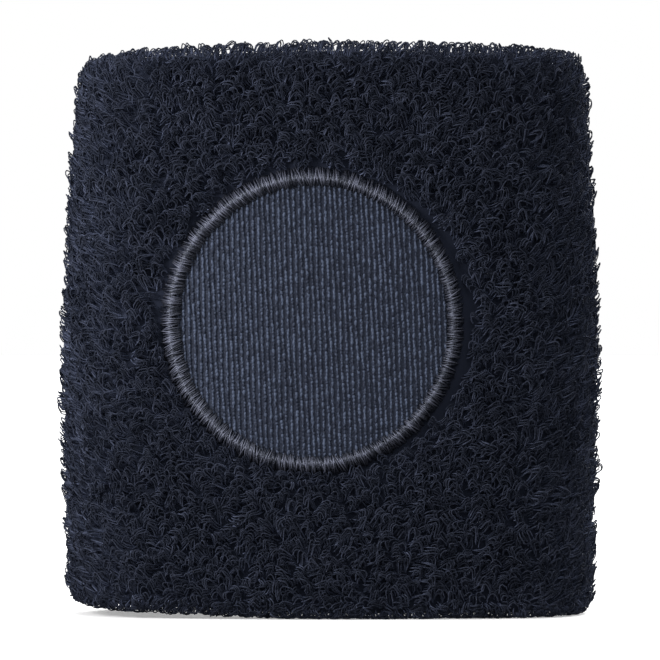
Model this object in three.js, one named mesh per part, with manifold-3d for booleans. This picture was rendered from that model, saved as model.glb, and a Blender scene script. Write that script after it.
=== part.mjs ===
// A terry sweat wristband with a round embroidered patch on its front.
//
// The band is one knitted terry tube folded double: the fold is the top rim, the tube turns in
// at the bottom rim, and its two raw ends meet in a closing seam inside, near the bottom.
// Covered elastic yarns lie between the two layers, and the patch is sewn through the outer one.
// The band stands on its bottom rim, +Z up, with the patch facing -Y. All sizes are in millimetres.

import * as THREE from "three";
import { mergeVertices } from "three/addons/utils/BufferGeometryUtils.js";
import Module from "manifold-3d";

const wasm = await Module();
wasm.setup();

// Points closer than this are one point.
const MERGE_DISTANCE = 1e-4;

// The band as it stands relaxed.
const BAND_HEIGHT = 80;
const BAND_WIDTH = 76;
const BAND_DEPTH = 32;

// The folded wall, from the pile tips outside to the pile tips inside.
const OUTER_LAYER = 3.0;
const BETWEEN_LAYERS = 1.2;
const INNER_LAYER = 2.4;
const WALL = OUTER_LAYER + BETWEEN_LAYERS + INNER_LAYER;
const RIM_FABRIC = 3.0;
const REST_FACE_WIDTH = 2.8;

// The oval that the wall follows: two tight end arcs joined by two long, gently crowned ones.
const END_RADIUS = 10.5;
const END_STEPS = 8;
const FACE_STEPS = 8;
const WALL_STRETCHES = 5;
const ARC_STEPS = 2;

// The band is fullest a little below its middle, and its top rim pulls in.
const FULLEST_HEIGHT = 35;
const RIM_PULL_IN = 0.04;

// The wall is worked as a front and a rear half, with a sliver of room between them.
const HALVES_GAP = 0.3;

const ELASTIC_COUNT = 12;
const ELASTIC_DIAMETER = 0.4;
const ELASTIC_BEHIND_OUTER_LAYER = 0.85;
const ELASTIC_SIDES = 5;
const LOWEST_ELASTIC = 6;
const HIGHEST_ELASTIC = 74;

const SEAM_BOTTOM = 8.0;
const SEAM_WIDTH = 1.2;
const SEAM_THREAD_DIAMETER = 0.4;
const SEAM_THREAD_SIDES = 5;

const PATCH_LEFT = 2.6;
const PATCH_HEIGHT = 41.2;
const PATCH_DIAMETER = 42.2;
const PATCH_SEGMENTS = 40;
const PATCH_RINGS = 4;
const FABRIC_GAP = 0.15;
const BORDER_WIDTH = 2.5;
const BORDER_THICKNESS = 1.1;
const BORDER_EDGE_DEPTH = 0.7;
const BORDER_SHOULDER_DEPTH = 0.165;
const BORDER_SHOULDER_WIDTH = 0.7;
const BORDER_TUCK = 0.15;
const FACE_UNDER_BORDER = 0.6;
const FACE_THICKNESS = 0.35;
const STIFFENER_THICKNESS = 0.35;
const STABILISER_THICKNESS = 0.25;
const BOBBIN_THREAD_WIDTH = 0.8;
const PADDING_WIDTH = 0.9;
const PADDING_THICKNESS = 0.4;
const PADDING_ROOM = 0.2;

const band = new THREE.Group();

// Adds one sub-part in its own colour.
function addPart(name, geometry, colour, roughness) {
  const material = new THREE.MeshStandardMaterial({ color: colour, roughness, metalness: 0 });
  const mesh = new THREE.Mesh(geometry, material);
  mesh.name = name;
  band.add(mesh);
}

// The middle of the wall, seen from above.
const HALF_WIDTH = (BAND_WIDTH - WALL) / 2;
const HALF_DEPTH = (BAND_DEPTH - WALL) / 2;
const END_CENTRE = HALF_WIDTH - END_RADIUS;
const FACE_RADIUS =
  (END_CENTRE ** 2 + HALF_DEPTH ** 2 - END_RADIUS ** 2) / (2 * (HALF_DEPTH - END_RADIUS));
const FACE_CENTRE = FACE_RADIUS - HALF_DEPTH;
const FACE_TURN = Math.asin(END_CENTRE / (FACE_RADIUS - END_RADIUS));

// Where the wall runs at a step of its way round, counted anticlockwise from the right-hand end:
// the direction in which it faces there, and the centre and radius of the arc that it follows.
function wallStation(step) {
  const quarterSteps = (END_STEPS + FACE_STEPS) / 2;
  const quarter = Math.floor(step / quarterSteps) % 4;
  const within = step - Math.floor(step / quarterSteps) * quarterSteps;
  const mirrored = quarter % 2 === 1;
  const fromEnd = mirrored ? quarterSteps - within : within;
  const endTurn = Math.PI / 2 - FACE_TURN;
  const onEnd = fromEnd <= END_STEPS / 2;
  const facing = onEnd
    ? (fromEnd / (END_STEPS / 2)) * endTurn
    : endTurn + ((fromEnd - END_STEPS / 2) / (FACE_STEPS / 2)) * FACE_TURN;
  const signX = quarter === 1 || quarter === 2 ? -1 : 1;
  const signY = quarter >= 2 ? -1 : 1;
  return {
    directionX: signX * Math.cos(facing),
    directionY: signY * Math.sin(facing),
    centreX: onEnd ? signX * END_CENTRE : 0,
    centreY: onEnd ? 0 : -signY * FACE_CENTRE,
    radius: onEnd ? END_RADIUS : FACE_RADIUS,
  };
}

// How much of its full width the band has at a height.
function fullness(height) {
  return 1 - RIM_PULL_IN * ((height - FULLEST_HEIGHT) / (BAND_HEIGHT - FULLEST_HEIGHT)) ** 2;
}

// Moves every vertex of a geometry, and leaves only positions in it.
function reshape(geometry, move) {
  geometry.deleteAttribute("normal");
  geometry.deleteAttribute("uv");
  const merged = mergeVertices(geometry, MERGE_DISTANCE);
  const position = merged.attributes.position;
  const point = new THREE.Vector3();
  for (let index = 0; index < position.count; index += 1) {
    point.fromBufferAttribute(position, index);
    move(point);
    position.setXYZ(index, point.x, point.y, point.z);
  }
  return merged;
}

// Runs a closed section round the whole wall: first round a circle, which is then bent into the
// oval. In the section, x is how far a point lies outside the middle of the wall, and y is its
// height.
function roundTheWall(section) {
  const steps = 2 * (END_STEPS + FACE_STEPS);
  const circleRadius = BAND_WIDTH;
  const profile = section.map((point) => new THREE.Vector2(circleRadius + point.x, point.y));
  profile.push(profile[0].clone());
  const ring = new THREE.LatheGeometry(profile, steps);
  ring.rotateX(Math.PI / 2);
  return reshape(ring, (point) => {
    const turn = Math.atan2(point.y, point.x) / (2 * Math.PI);
    const station = wallStation(Math.round((turn + 1) * steps) % steps);
    const outside = Math.hypot(point.x, point.y) - circleRadius;
    const reach = station.radius + outside;
    const full = fullness(point.z);
    point.x = full * (station.centreX + reach * station.directionX);
    point.y = full * (station.centreY + reach * station.directionY);
  });
}

// Turns a closed section round the patch's own axis and lays it on the crowned front. In the
// section, x is the distance from the patch's centre, and y is the depth below the pile tips.
function onTheFront(section, closesOnAxis) {
  const profile = section.map((point) => new THREE.Vector2(point.x, point.y));
  if (!closesOnAxis) {
    profile.push(profile[0].clone());
  }
  const disc = new THREE.LatheGeometry(profile, PATCH_SEGMENTS);
  return reshape(disc, (point) => {
    const reach = FACE_RADIUS + WALL / 2 - point.y;
    const along = (point.x - PATCH_LEFT) / (FACE_RADIUS + WALL / 2);
    const height = PATCH_HEIGHT + point.z;
    const full = fullness(height);
    point.set(full * reach * Math.sin(along), full * (FACE_CENTRE - reach * Math.cos(along)), height);
  });
}

function toSolid(geometry) {
  const merged = mergeVertices(geometry, MERGE_DISTANCE);
  return new wasm.Manifold(
    new wasm.Mesh({
      numProp: 3,
      vertProperties: new Float32Array(merged.attributes.position.array),
      triVerts: new Uint32Array(merged.index.array),
    })
  );
}

function toGeometry(solid) {
  const mesh = solid.getMesh();
  const geometry = new THREE.BufferGeometry();
  geometry.setAttribute("position", new THREE.BufferAttribute(new Float32Array(mesh.vertProperties), 3));
  geometry.setIndex(new THREE.BufferAttribute(new Uint32Array(mesh.triVerts), 1));
  return geometry;
}

// Takes a section's outline straight up or down in short stretches, so that it can follow the
// fullness of the band.
function runStraight(path, outside, fromHeight, toHeight) {
  for (let stretch = 1; stretch <= WALL_STRETCHES; stretch += 1) {
    path.lineTo(outside, THREE.MathUtils.lerp(fromHeight, toHeight, stretch / WALL_STRETCHES));
  }
}

// The folded terry wall, anticlockwise: from the seam down the inside, round the bottom rim, up
// the outer layer, over the top fold, down the lining to the seam, and back between the layers.
function wallSection() {
  const outside = WALL / 2;
  const outerBack = outside - OUTER_LAYER;
  const innerBack = outerBack - BETWEEN_LAYERS;
  const corner = outside - REST_FACE_WIDTH / 2;
  const fold = BETWEEN_LAYERS / 2;
  const foldCentre = outerBack - fold;
  const topArc = BAND_HEIGHT - outside;
  const topFold = BAND_HEIGHT - RIM_FABRIC - fold;
  const bottomFold = RIM_FABRIC + fold;
  const seamTop = SEAM_BOTTOM + SEAM_WIDTH;
  const path = new THREE.Path();
  path.moveTo(-outside, SEAM_BOTTOM);
  path.lineTo(-outside, corner);
  path.absarc(corner - outside, corner, corner, Math.PI, 1.5 * Math.PI, false);
  path.absarc(outside - corner, corner, corner, 1.5 * Math.PI, 2 * Math.PI, false);
  runStraight(path, outside, corner, topArc);
  path.absarc(0, topArc, outside, 0, Math.PI, false);
  runStraight(path, -outside, topArc, seamTop);
  path.lineTo(innerBack, seamTop);
  runStraight(path, innerBack, seamTop, topFold);
  path.absarc(foldCentre, topFold, fold, Math.PI, 0, true);
  runStraight(path, outerBack, topFold, bottomFold);
  path.absarc(foldCentre, bottomFold, fold, 0, -Math.PI, true);
  path.lineTo(innerBack, SEAM_BOTTOM);
  return path.getPoints(ARC_STEPS);
}

// A round thread's section, with its centre at a depth below the outer pile tips.
function threadSection(depth, height, diameter, sides) {
  const radius = diameter / 2;
  const thread = new THREE.EllipseCurve(WALL / 2 - depth, height, radius, radius);
  return thread.getPoints(sides).slice(0, sides);
}

// A flat disc's section, with extra points along it so that it can follow the crown.
function discSection(radius, top, thickness) {
  const upper = [];
  const lower = [];
  for (let ring = 0; ring <= PATCH_RINGS; ring += 1) {
    const reach = (radius * ring) / PATCH_RINGS;
    upper.push(new THREE.Vector2(reach, top));
    lower.unshift(new THREE.Vector2(reach, top + thickness));
  }
  return [...upper, ...lower];
}

// A flat ring's section.
function ringSection(innerRadius, outerRadius, top, thickness) {
  return [
    new THREE.Vector2(innerRadius, top),
    new THREE.Vector2(outerRadius, top),
    new THREE.Vector2(outerRadius, top + thickness),
    new THREE.Vector2(innerRadius, top + thickness),
  ];
}

// The patch lies in the outer layer, each piece a hair below the last.
const PATCH_RADIUS = PATCH_DIAMETER / 2;
const faceTop = BORDER_THICKNESS + FABRIC_GAP;
const stiffenerTop = faceTop + FACE_THICKNESS + FABRIC_GAP;
const pocketDepth = stiffenerTop + STIFFENER_THICKNESS + FABRIC_GAP;
const wrongSide = OUTER_LAYER + FABRIC_GAP;
const fabricRadius = PATCH_RADIUS - FACE_UNDER_BORDER;
const borderMiddle = PATCH_RADIUS - BORDER_WIDTH / 2;

// The satin border arches over a strip of padding stitches.
function borderSection() {
  const inner = PATCH_RADIUS - BORDER_WIDTH;
  const archHalf = PADDING_WIDTH / 2 + PADDING_ROOM;
  const archTop = BORDER_THICKNESS - PADDING_THICKNESS - PADDING_ROOM;
  return [
    new THREE.Vector2(inner, BORDER_EDGE_DEPTH),
    new THREE.Vector2(inner + BORDER_SHOULDER_WIDTH, BORDER_SHOULDER_DEPTH),
    new THREE.Vector2(borderMiddle, 0),
    new THREE.Vector2(PATCH_RADIUS - BORDER_SHOULDER_WIDTH, BORDER_SHOULDER_DEPTH),
    new THREE.Vector2(PATCH_RADIUS, BORDER_EDGE_DEPTH),
    new THREE.Vector2(PATCH_RADIUS - BORDER_TUCK, BORDER_THICKNESS),
    new THREE.Vector2(borderMiddle + archHalf, BORDER_THICKNESS),
    new THREE.Vector2(borderMiddle + archHalf, archTop),
    new THREE.Vector2(borderMiddle - archHalf, archTop),
    new THREE.Vector2(borderMiddle - archHalf, BORDER_THICKNESS),
    new THREE.Vector2(inner + BORDER_TUCK, BORDER_THICKNESS),
  ];
}

// Terry, cut into its two halves, with the bed for the patch pressed into the front one. The
// bed's solid starts in front of the pile, so that the cut is open.
const bedStart = -BORDER_WIDTH;
const bedSection = discSection(PATCH_RADIUS + FABRIC_GAP, bedStart, pocketDepth - bedStart);
const patchBed = toSolid(onTheFront(bedSection, true));
const terryTube = toSolid(roundTheWall(wallSection()));

function halfSpace(side) {
  const size = 2 * BAND_WIDTH;
  const box = new THREE.BoxGeometry(size, size, size);
  box.translate(0, side * (size / 2 + HALVES_GAP / 2), BAND_HEIGHT / 2);
  box.deleteAttribute("normal");
  box.deleteAttribute("uv");
  return toSolid(box);
}

addPart("terry_rear_half", toGeometry(terryTube.intersect(halfSpace(1))), 0x1b1f2b, 0.95);
addPart(
  "terry_front_half",
  toGeometry(terryTube.intersect(halfSpace(-1)).subtract(patchBed)),
  0x1b1f2b,
  0.95
);

for (let number = 1; number <= ELASTIC_COUNT; number += 1) {
  const share = (number - 1) / (ELASTIC_COUNT - 1);
  const height = THREE.MathUtils.lerp(LOWEST_ELASTIC, HIGHEST_ELASTIC, share);
  const depth = OUTER_LAYER + ELASTIC_BEHIND_OUTER_LAYER;
  const section = threadSection(depth, height, ELASTIC_DIAMETER, ELASTIC_SIDES);
  const name = `elastic_yarn_${String(number).padStart(2, "0")}`;
  addPart(name, roundTheWall(section), 0x23252c, 0.6);
}

// The closing seam: one needle thread through the raw ends, with a looper thread either side.
const seamHeight = SEAM_BOTTOM + SEAM_WIDTH / 2;
const seamMiddle = WALL - INNER_LAYER / 2;
const seamSpread = INNER_LAYER / 2 - SEAM_THREAD_DIAMETER;
const seamThreads = {
  seam_inner_looper_thread: seamMiddle + seamSpread,
  seam_needle_thread: seamMiddle,
  seam_outer_looper_thread: seamMiddle - seamSpread,
};
for (const [name, depth] of Object.entries(seamThreads)) {
  const section = threadSection(depth, seamHeight, SEAM_THREAD_DIAMETER, SEAM_THREAD_SIDES);
  addPart(name, roundTheWall(section), 0x20232e, 0.55);
}

// The patch, from the top down.
const paddingSection = ringSection(
  borderMiddle - PADDING_WIDTH / 2,
  borderMiddle + PADDING_WIDTH / 2,
  BORDER_THICKNESS - PADDING_THICKNESS,
  PADDING_THICKNESS
);
addPart("satin_border_thread", onTheFront(borderSection(), false), 0x2c3140, 0.45);
addPart("border_padding_thread", onTheFront(paddingSection, false), 0x262a38, 0.5);
addPart("patch_face", onTheFront(discSection(fabricRadius, faceTop, FACE_THICKNESS), true), 0x333949, 0.7);
addPart(
  "patch_stiffener",
  onTheFront(discSection(fabricRadius, stiffenerTop, STIFFENER_THICKNESS), true),
  0x24262c,
  0.9
);

// On the wrong side of the outer layer.
const bobbinInner = borderMiddle - BOBBIN_THREAD_WIDTH / 2;
const bobbinOuter = borderMiddle + BOBBIN_THREAD_WIDTH / 2;
const bobbinSection = ringSection(bobbinInner, bobbinOuter, wrongSide, STABILISER_THICKNESS);
const stabiliserSection = discSection(bobbinInner - 2 * FABRIC_GAP, wrongSide, STABILISER_THICKNESS);
addPart("border_bobbin_thread", onTheFront(bobbinSection, false), 0x20232b, 0.5);
addPart("embroidery_stabiliser", onTheFront(stabiliserSection, true), 0x2a2c31, 0.95);

export default band;
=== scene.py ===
# A terry sweat wristband with a round ribbed patch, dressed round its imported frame.
# Metres, +Z up. The band stands on its bottom rim and the patch faces -Y.

import math

import bpy
import numpy as np
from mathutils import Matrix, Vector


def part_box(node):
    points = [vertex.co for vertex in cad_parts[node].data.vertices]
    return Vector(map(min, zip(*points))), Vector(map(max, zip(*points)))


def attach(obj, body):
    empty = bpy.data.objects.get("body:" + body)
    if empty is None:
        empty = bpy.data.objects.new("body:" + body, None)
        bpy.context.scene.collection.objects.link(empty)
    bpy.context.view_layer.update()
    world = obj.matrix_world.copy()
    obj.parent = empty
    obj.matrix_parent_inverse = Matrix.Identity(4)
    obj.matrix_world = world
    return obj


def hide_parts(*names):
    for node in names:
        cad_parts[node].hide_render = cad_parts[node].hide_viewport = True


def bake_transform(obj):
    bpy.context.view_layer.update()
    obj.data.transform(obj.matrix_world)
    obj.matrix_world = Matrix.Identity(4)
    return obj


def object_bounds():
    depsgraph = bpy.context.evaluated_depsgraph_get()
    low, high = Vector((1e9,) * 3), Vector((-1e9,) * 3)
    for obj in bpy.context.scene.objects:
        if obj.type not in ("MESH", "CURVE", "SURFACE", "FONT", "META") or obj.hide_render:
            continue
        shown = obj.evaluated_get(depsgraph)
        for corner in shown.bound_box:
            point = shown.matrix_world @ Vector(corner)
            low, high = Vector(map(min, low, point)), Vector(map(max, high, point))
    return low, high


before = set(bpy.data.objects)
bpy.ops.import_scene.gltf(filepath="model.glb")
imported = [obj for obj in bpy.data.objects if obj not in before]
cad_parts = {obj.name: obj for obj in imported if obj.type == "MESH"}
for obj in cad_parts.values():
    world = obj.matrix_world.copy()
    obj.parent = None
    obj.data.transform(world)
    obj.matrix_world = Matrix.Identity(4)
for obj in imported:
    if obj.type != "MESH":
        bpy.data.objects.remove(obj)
cad_low, cad_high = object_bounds()
scene = bpy.context.scene
MM = 0.001


# ---- Studio --------------------------
# A long lens level with the middle of the band, on a pale floor that runs out to the horizon.
# One soft key light stands near on the left and a little above, so that it rakes over the pile.
# Broad weak lamps overhead and behind light the rims, and a faint one fills the front.
CAMERA_DISTANCE = 620 * MM
VIEW_WIDTH = 93.2 * MM
SENSOR_WIDTH = 36
FLOOR_REACH = 6.0
FLOOR_GLOW = 0.30
AMBIENT_LIGHT = 0.33

camera_data = bpy.data.cameras.new("camera")
camera_data.sensor_width = SENSOR_WIDTH
camera_data.lens = SENSOR_WIDTH * CAMERA_DISTANCE / VIEW_WIDTH
camera = bpy.data.objects.new("camera", camera_data)
camera.location = (0, -CAMERA_DISTANCE, (cad_low.z + cad_high.z) / 2)
camera.rotation_euler = (math.pi / 2, 0, 0)
scene.collection.objects.link(camera)
scene.camera = camera
scene.view_settings.view_transform = "Standard"


def add(tree, kind, *values, **settings):
    """Adds a node to a tree and plugs values, sockets or other nodes into its inputs in order."""
    made = tree.nodes.new(kind)
    for setting, value in settings.items():
        setattr(made, setting, value)
    sockets = [socket for socket in made.inputs if socket.enabled]
    for socket, value in zip(sockets, values):
        if isinstance(value, bpy.types.Node):
            value = next(output for output in value.outputs if output.enabled)
        if isinstance(value, bpy.types.NodeSocket):
            tree.links.new(value, socket)
        elif value is not None:
            socket.default_value = value
    return made


def maths(tree, operation, *values):
    return add(tree, "ShaderNodeMath", *values, operation=operation)


def new_material(name, roughness, sheen=0.0):
    """A matt cloth or thread finish, whose colour is then plugged in."""
    material = bpy.data.materials.new(name)
    material.use_nodes = True
    shader = material.node_tree.nodes["Principled BSDF"]
    shader.inputs["Roughness"].default_value = roughness
    shader.inputs["Sheen Weight"].default_value = sheen
    return material, material.node_tree, shader


def floor_material():
    material, tree, shader = new_material("studio_floor", 0.9)
    place = add(tree, "ShaderNodeTexCoord").outputs["Object"]
    mottle = add(tree, "ShaderNodeTexNoise", place, 3.0)
    ramp = add(tree, "ShaderNodeMapRange", mottle, 0.3, 0.7, 0.91, 0.93)
    tree.links.new(ramp.outputs[0], shader.inputs["Base Color"])
    shader.inputs["Emission Color"].default_value = (1.0, 1.0, 1.0, 1.0)
    shader.inputs["Emission Strength"].default_value = FLOOR_GLOW
    return material


floor_mesh = bpy.data.meshes.new("studio_floor")
floor_ways = ((-1, -1), (1, -1), (1, 1), (-1, 1))
floor_mesh.from_pydata([(x * FLOOR_REACH, y * FLOOR_REACH, 0) for x, y in floor_ways], [], [(0, 1, 2, 3)])
floor_mesh.materials.append(floor_material())
floor = bpy.data.objects.new("studio_floor", floor_mesh)
scene.collection.objects.link(floor)
floor.visible_diffuse = False
floor.visible_glossy = False

world = bpy.data.worlds.new("studio_world")
world.use_nodes = True
scene.world = world
backdrop = world.node_tree.nodes["Background"]
seen_directly = add(world.node_tree, "ShaderNodeLightPath").outputs["Is Camera Ray"]
strength = add(world.node_tree, "ShaderNodeMapRange", seen_directly, 0.0, 1.0, AMBIENT_LIGHT, 1.0)
world.node_tree.links.new(strength.outputs[0], backdrop.inputs["Strength"])
backdrop.inputs["Color"].default_value = (1.0, 1.0, 1.0, 1.0)


def aim(lamp, towards):
    """Links a lamp, and turns it to shine from the direction towards."""
    x, y, z = towards
    lamp.rotation_euler = (math.atan2(math.hypot(x, y), z), 0, math.atan2(x, -y))
    scene.collection.objects.link(lamp)


def sun(name, towards, power, angle, colour):
    """A distant lamp that shines from the direction towards."""
    data = bpy.data.lights.new(name, "SUN")
    data.energy = power
    data.angle = math.radians(angle)
    data.color = colour
    aim(bpy.data.objects.new(name, data), towards)


KEY_WAY = (-0.74, -0.56, 0.26)
KEY_DISTANCE = 250 * MM
KEY_SIZE = 85 * MM
KEY_POWER = 0.56

key_data = bpy.data.lights.new("key_light", "AREA")
key_data.shape = "DISK"
key_data.size = KEY_SIZE
key_data.energy = KEY_POWER
key_data.color = (1.0, 0.99, 0.99)
key = bpy.data.objects.new("key_light", key_data)
key.location = [KEY_DISTANCE * part for part in KEY_WAY]
key.location.z += (cad_low.z + cad_high.z) / 2
key.visible_camera = False
aim(key, KEY_WAY)
sun("overhead_light", (0.1, -0.2, 1.0), power=1.8, angle=70, colour=(0.97, 0.98, 1.0))
sun("front_fill", (0.0, -1.0, 0.5), power=0.5, angle=50, colour=(0.92, 0.96, 1.0))
sun("rear_light", (0.55, 1.0, 0.45), power=3.4, angle=40, colour=(1.0, 0.99, 0.98))


# ---- Terry fabric --------------------
# One knitted tube, folded double: the fold is the top rim, it turns in at the bottom rim, and its
# raw ends meet inside near the bottom. This is the close ground that the pile loops stand on.
BAND_WIDTH = cad_high.x - cad_low.x
BAND_DEPTH = cad_high.y - cad_low.y
BAND_HEIGHT = cad_high.z - cad_low.z
WALL = 6.6 * MM
END_RADIUS = 10.5 * MM
FULLEST_HEIGHT = 35 * MM
RIM_PULL_IN = 0.04
TOP_NARROWING = 0.024
CORNER_NARROWING = 0.030
CORNER_HEIGHT = 8 * MM
SIDE_PLUMPNESS = 0.9 * MM
TOP_LEAN = 0.3 * MM
TOP_SAG = 0.6 * MM
LEFT_SAG = 0.7 * MM
HEM_LIFT = 1.5 * MM
HEM_NARROWING = 0.004
HEM_NARROWING_SPREAD = 33 * MM

OUTER_GROUND = 1.2 * MM
LINING_GROUND = -1.8 * MM
GROUND_THICKNESS = 0.6 * MM
RIM_PILE = 1.2 * MM
HEM_PILE = 0.75 * MM
SEAM_LOW, SEAM_HIGH = 8.0 * MM, 9.2 * MM

half_width = (BAND_WIDTH - WALL) / 2
half_depth = (BAND_DEPTH - WALL) / 2
end_centre = half_width - END_RADIUS
face_radius = (end_centre ** 2 + half_depth ** 2 - END_RADIUS ** 2) / (2 * (half_depth - END_RADIUS))
face_centre = face_radius - half_depth
face_turn = math.asin(end_centre / (face_radius - END_RADIUS))


def facing_at(way):
    """The direction, as an angle, that the wall faces at a share of the way round it, from the
    middle of the front towards +X."""
    face = face_turn * face_radius
    end = (math.pi - 2 * face_turn) * END_RADIUS
    stops = np.cumsum([0, face, end, 2 * face, end, face])
    turns = np.cumsum([-math.pi / 2, face_turn, math.pi - 2 * face_turn, 2 * face_turn,
                       math.pi - 2 * face_turn, face_turn])
    return np.interp((way % 1.0) * stops[-1], stops, turns)


def girth(outside):
    """The length round the wall on a line outside its middle."""
    face = face_turn * (face_radius + outside)
    end = (math.pi - 2 * face_turn) * (END_RADIUS + outside)
    return 4 * face + 2 * end


def fullness(height):
    """The share of its full width and depth that the band has at a height."""
    return 1 - RIM_PULL_IN * ((height - FULLEST_HEIGHT) / (BAND_HEIGHT - FULLEST_HEIGHT)) ** 2


def waist(height):
    """How much narrower again it is from side to side: above the hem, towards the top and at the
    top corners."""
    corner = np.clip((height - BAND_HEIGHT) / CORNER_HEIGHT + 1, 0, 1)
    above = np.maximum(height - FULLEST_HEIGHT, 0) / (BAND_HEIGHT - FULLEST_HEIGHT)
    below = np.clip((FULLEST_HEIGHT - height) / HEM_NARROWING_SPREAD, 0, 1)
    upper = TOP_NARROWING * above + CORNER_NARROWING * corner ** 2
    return 1 - upper - HEM_NARROWING * np.sin(math.pi * below) ** 2


def settle(x, height):
    """How far the cloth sags at both ends of the top rim and draws up at the left of the hem."""
    share = height / BAND_HEIGHT
    leftward = np.clip(-x / half_width, 0, 1)
    sag = TOP_SAG * (x / half_width) ** 2 * share ** 4 + LEFT_SAG * leftward * share ** 4
    return HEM_LIFT * leftward ** 1.2 * (1 - share) ** 4 - sag


def on_wall(way, outside, height):
    """Points on the wall, with the directions out of the wall and along it to the right."""
    facing = facing_at(way)
    cos, sin = np.cos(facing), np.sin(facing)
    on_face = np.abs(cos) < math.sin(face_turn)
    reach = np.where(on_face, face_radius, END_RADIUS) + outside + SIDE_PLUMPNESS * cos ** 4
    middle_x = np.where(on_face, 0, np.sign(cos) * end_centre)
    middle_y = np.where(on_face, -np.sign(sin) * face_centre, 0)
    full = fullness(height)
    zero = np.zeros_like(cos)
    x = full * waist(height) * (middle_x + reach * cos)
    lean = TOP_LEAN * (height / BAND_HEIGHT) ** 2
    points = np.stack([x + lean, full * (middle_y + reach * sin), height + settle(x, height) + zero], -1)
    out = np.stack([cos, sin, zero], -1)
    along = np.stack([-sin, cos, zero], -1)
    return points, out, along


# The section of the fold is a long loop: up the outer face, over the top, down the lining.
fold_radius = (OUTER_GROUND - LINING_GROUND) / 2
fold_middle = (OUTER_GROUND + LINING_GROUND) / 2
fold_bottom = HEM_PILE + fold_radius
fold_top = BAND_HEIGHT - RIM_PILE - fold_radius
straight = fold_top - fold_bottom
half_turn = math.pi * fold_radius
section_length = 2 * straight + 2 * half_turn


def on_section(distance, inset=0.0):
    """The place outside the wall's middle, the height, and the section's own outward direction
    (across, up) at a distance along it from the foot of the outer face."""
    distance = np.asarray(distance) % section_length
    top_turn = (distance - straight) / fold_radius
    bottom_turn = (distance - 2 * straight - half_turn) / fold_radius
    up_front = distance < straight
    over_top = (distance >= straight) & (distance < straight + half_turn)
    down_back = (distance >= straight + half_turn) & (distance < 2 * straight + half_turn)
    turn = np.select([up_front, over_top, down_back], [0 * distance, top_turn, 0 * distance + math.pi],
                     math.pi + bottom_turn)
    centre = np.select([up_front, over_top, down_back],
                       [fold_bottom + distance, 0 * distance + fold_top,
                        fold_top - (distance - straight - half_turn)], fold_bottom)
    across, up = np.cos(turn), np.sin(turn)
    radius = fold_radius - inset
    return fold_middle + radius * across, centre + radius * up, across, up


def wall_mesh(name, outside, height, steps_round):
    """A mesh that runs a closed section round the whole wall."""
    count = len(outside)
    ways = np.repeat(np.arange(steps_round) / steps_round, count)
    points, _, _ = on_wall(ways, np.tile(outside, steps_round), np.tile(height, steps_round))
    faces = []
    for step in range(steps_round):
        here, there = step * count, ((step + 1) % steps_round) * count
        for point in range(count):
            after = (point + 1) % count
            faces.append((here + point, there + point, there + after, here + after))
    mesh = bpy.data.meshes.new(name)
    mesh.from_pydata(points.tolist(), [], faces)
    mesh.shade_smooth()
    return mesh


def place(name, mesh, material):
    """Puts a finished mesh in the scene in one material."""
    mesh.materials.clear()
    mesh.materials.append(material)
    piece = bpy.data.objects.new(name, mesh)
    scene.collection.objects.link(piece)
    return piece


def stretches(piece):
    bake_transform(piece)


TERRY_DARK = (0.0088, 0.0108, 0.0182, 1)
TERRY_LIGHT = (0.0285, 0.0330, 0.051, 1)
YARN_SPECKLE = 5200


def times(tree, vector, factor):
    return add(tree, "ShaderNodeVectorMath", vector, factor, operation="SCALE")


def between(tree, amount, dark, light):
    """A colour that is an amount of the way from dark to light."""
    colour = add(tree, "ShaderNodeMix", data_type="RGBA")
    tree.links.new(amount, colour.inputs["Factor"])
    colour.inputs["A"].default_value = dark
    colour.inputs["B"].default_value = light
    return colour.outputs["Result"]


def speckled(tree, grain, detail, own_share, low, high, most, dark, light):
    """The colour of yarn: fine fibre speckle along it, and each loop dyed a little apart."""
    spot = add(tree, "ShaderNodeTexCoord").outputs["Object"]
    fibre = add(tree, "ShaderNodeTexNoise", spot, grain, detail)
    own = add(tree, "ShaderNodeAttribute", attribute_name="loop_shade").outputs["Fac"]
    both = maths(tree, "MULTIPLY_ADD", own, own_share, fibre.outputs["Fac"])
    amount = add(tree, "ShaderNodeMapRange", both, low, high, 0.0, most)
    return between(tree, amount.outputs[0], dark, light)


def painted_shading_by_rise(tree, colour, painted_foot_shading, crest):
    """A colour as it is from the crest of a loop up, scaled towards its foot by a factor: painted light
    where it lifts the colour, painted shade where it darkens it.
    """
    rise = add(tree, "ShaderNodeAttribute", attribute_name="loop_rise").outputs["Fac"]
    share = add(tree, "ShaderNodeMapRange", rise, 0.0, crest, painted_foot_shading, 1.0)
    return times(tree, colour, share).outputs[0]


def terry_material(name, lightness, painted_foot_shading):
    """Midnight navy cotton. The feet of the loops and the ground are painted lighter, as painted light
    that fills the shade deep in the pile, so that they are not black."""
    material, tree, shader = new_material(name, 0.92, 0.10)
    colour = speckled(tree, YARN_SPECKLE, 2.0, 0.5, 0.62, 1.0, lightness, TERRY_DARK, TERRY_LIGHT)
    tree.links.new(painted_shading_by_rise(tree, colour, painted_foot_shading, 0.9), shader.inputs["Base Color"])
    shader.inputs["Specular IOR Level"].default_value = 0.1
    shader.inputs["Sheen Roughness"].default_value = 0.5
    shader.inputs["Sheen Tint"].default_value = (0.35, 0.42, 0.62, 1)
    return material


# The ground and the feet of the loops get painted light: their colour is lifted where the pile shades them.
ground_cloth = terry_material("terry_ground", lightness=0.1, painted_foot_shading=1.7)
pile_yarn = terry_material("terry_pile_yarn", lightness=1.0, painted_foot_shading=6.0)

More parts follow.
